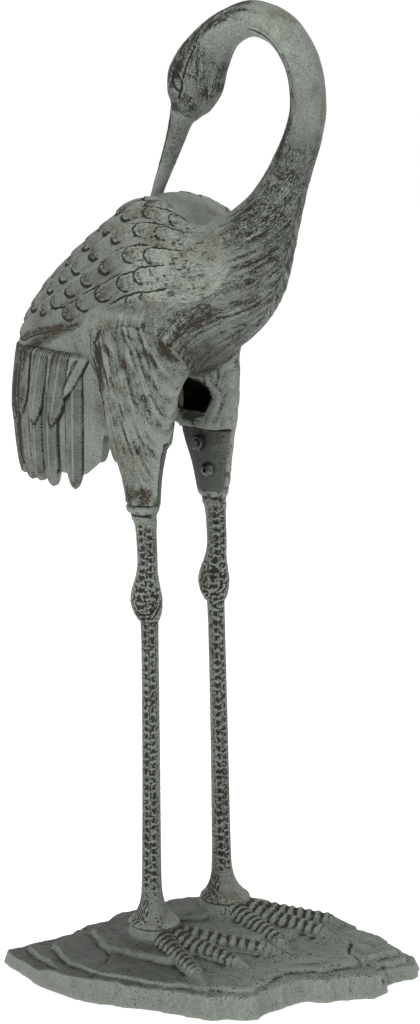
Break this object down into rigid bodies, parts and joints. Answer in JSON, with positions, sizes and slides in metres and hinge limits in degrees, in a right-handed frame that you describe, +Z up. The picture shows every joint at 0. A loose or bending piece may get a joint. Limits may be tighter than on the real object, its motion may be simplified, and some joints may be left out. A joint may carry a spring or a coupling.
{
  "type": "crane garden statue",
  "caption": "Cast garden crane preening its back, with folded wings, drooping tail plumes, slender bolted legs and a layered rock base.",
  "frame": {"origin": "on the flat underside of the rock base, halfway between the two feet", "axes": "+X is the way the bird's body faces, +Y is its left side, +Z is up"},
  "size_m": [0.4106, 0.2883, 0.9148],
  "materials": {
    "verdigris_casting": "sand-cast aluminium with a matt grey-green verdigris patina and brown-black in the recesses",
    "dark_steel": "steel fasteners, darkened and dull, with worn bright edges"
  },
  "bodies": {
    "root": {"body_casting": "verdigris_casting", "left_leg": "verdigris_casting", "right_leg": "verdigris_casting", "rock_base": "verdigris_casting", "left_nut": "dark_steel", "left_screw": "dark_steel", "right_nut": "dark_steel", "right_screw": "dark_steel"}
  },
  "joints": []
}
